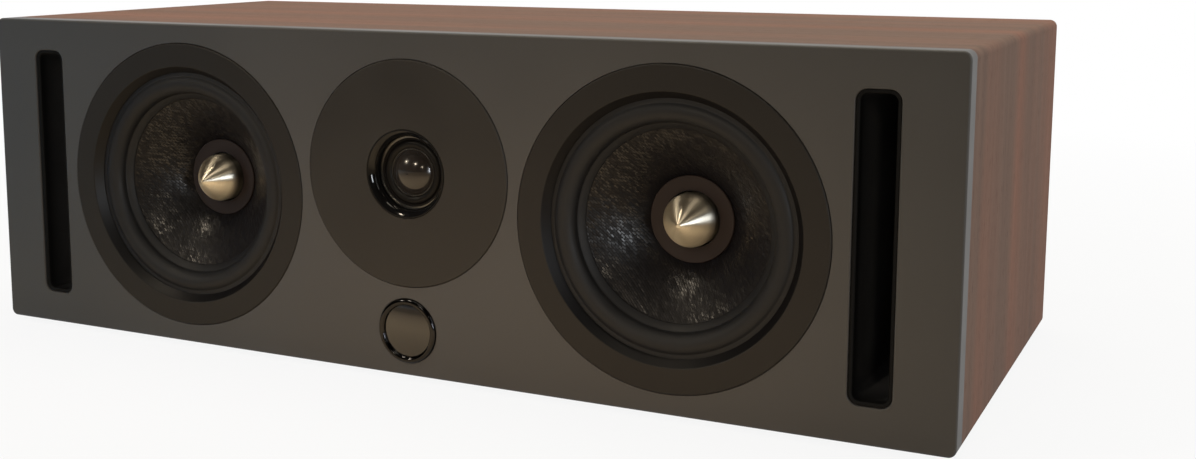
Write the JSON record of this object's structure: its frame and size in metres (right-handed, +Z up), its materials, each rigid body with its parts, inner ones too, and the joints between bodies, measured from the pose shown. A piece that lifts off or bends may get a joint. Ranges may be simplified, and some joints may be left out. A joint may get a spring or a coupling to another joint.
{
  "type": "center channel speaker",
  "caption": "Low wide speaker cabinet in wood veneer, with a dome tweeter between matching woofers, tall slot ports at the ends and binding posts on the rear.",
  "frame": {"origin": "on the floor under the middle of the cabinet", "axes": "+X along the cabinet to the viewer's right, -Y out of the baffle, +Z up"},
  "size_m": [0.564, 0.2596, 0.183],
  "materials": {
    "veneer": "satin walnut veneer",
    "black_board": "black stained board",
    "baffle_lacquer": "fine matt grey lacquer",
    "duct_plastic": "matt black",
    "foot_rubber": "black rubber",
    "trim_satin": "satin black-brown",
    "basket_alloy": "black coated casting",
    "gasket_foam": "black foam",
    "surround_rubber": "soft satin rubber",
    "cone_weave": "coated black weave",
    "collar_plastic": "satin black",
    "plug_metal": "fine turned",
    "coil_copper": "enamelled copper wire",
    "spider_cloth": "varnished cloth",
    "motor_steel": "black plated steel",
    "ferrite": "ground ferrite",
    "faceplate_gloss": "gloss black",
    "clamp_metal": "satin",
    "dome_film": "coated glossy film",
    "dome_roll": "coated satin film",
    "badge_chrome": "dark polished",
    "badge_lens": "plain gloss lens",
    "cup_plastic": "fine grained black",
    "screw_steel": "black zinc",
    "post_brass": "gold plated",
    "nut_red": "red",
    "nut_black": "black",
    "board_resin": "laminate board",
    "capacitor_body": "film wrap",
    "wadding": "soft fibre"
  },
  "bodies": {
    "cabinet": {"top_panel": "veneer", "bottom_panel": "veneer", "left_panel": "veneer", "right_panel": "veneer", "rear_panel": "black_board", "left_brace": "black_board", "right_brace": "black_board", "front_baffle": "baffle_lacquer", "left_port_duct": "duct_plastic", "right_port_duct": "duct_plastic", "rubber_feet": "foot_rubber", "woofer_screws": "screw_steel", "tweeter_trim_disc": "trim_satin", "tweeter_faceplate": "faceplate_gloss", "tweeter_gasket": "gasket_foam", "tweeter_clamp_ring": "clamp_metal", "tweeter_surround": "dome_roll", "tweeter_top_plate": "motor_steel", "tweeter_magnet": "ferrite", "tweeter_back_plate": "motor_steel", "tweeter_screws": "screw_steel", "badge_bezel": "badge_chrome", "badge_lens": "badge_lens", "terminal_cup": "cup_plastic", "terminal_screws": "screw_steel", "left_binding_post": "post_brass", "right_binding_post": "post_brass", "crossover_board": "board_resin", "crossover_coils": "coil_copper", "crossover_capacitors": "capacitor_body", "damping_pads": "wadding", "left_woofer_trim_ring": "trim_satin", "left_woofer_basket": "basket_alloy", "left_woofer_gasket": "gasket_foam", "left_woofer_surround": "surround_rubber", "left_woofer_phase_plug": "plug_metal", "left_woofer_spider": "spider_cloth", "left_woofer_top_plate": "motor_steel", "left_woofer_magnet": "ferrite", "left_woofer_back_plate": "motor_steel", "right_woofer_trim_ring": "trim_satin", "right_woofer_basket": "basket_alloy", "right_woofer_gasket": "gasket_foam", "right_woofer_surround": "surround_rubber", "right_woofer_phase_plug": "plug_metal", "right_woofer_spider": "spider_cloth", "right_woofer_top_plate": "motor_steel", "right_woofer_magnet": "ferrite", "right_woofer_back_plate": "motor_steel"},
    "left_cone_assembly": {"left_woofer_cone": "cone_weave", "left_woofer_collar": "collar_plastic", "left_woofer_voice_coil": "coil_copper"},
    "right_cone_assembly": {"right_woofer_cone": "cone_weave", "right_woofer_collar": "collar_plastic", "right_woofer_voice_coil": "coil_copper"},
    "dome_assembly": {"tweeter_dome": "dome_film", "tweeter_voice_coil": "coil_copper"},
    "left_nut": {"left_thumb_nut": "nut_black"},
    "right_nut": {"right_thumb_nut": "nut_red"}
  },
  "joints": [
    {"name": "left_cone_travel", "type": "slide", "parent": "cabinet", "child": "left_cone_assembly", "axis": [0, -1, 0], "range_m": [-0.004, 0.004], "stiffness_N_per_m": 800, "deforming": ["left_woofer_surround", "left_woofer_spider"]},
    {"name": "right_cone_travel", "type": "slide", "parent": "cabinet", "child": "right_cone_assembly", "axis": [0, -1, 0], "range_m": [-0.004, 0.004], "stiffness_N_per_m": 800, "deforming": ["right_woofer_surround", "right_woofer_spider"]},
    {"name": "dome_travel", "type": "slide", "parent": "cabinet", "child": "dome_assembly", "axis": [0, -1, 0], "range_m": [-0.0003, 0.0003], "stiffness_N_per_m": 40, "deforming": ["tweeter_surround"]},
    {"name": "left_nut_turn", "type": "hinge", "parent": "cabinet", "child": "left_nut", "pos_m": [-0.00953, 0.115, 0.093], "axis": [0, 1, 0], "range_deg": [0, 1080]},
    {"name": "right_nut_turn", "type": "hinge", "parent": "cabinet", "child": "right_nut", "pos_m": [0.00953, 0.115, 0.093], "axis": [0, 1, 0], "range_deg": [0, 1080]}
  ]
}
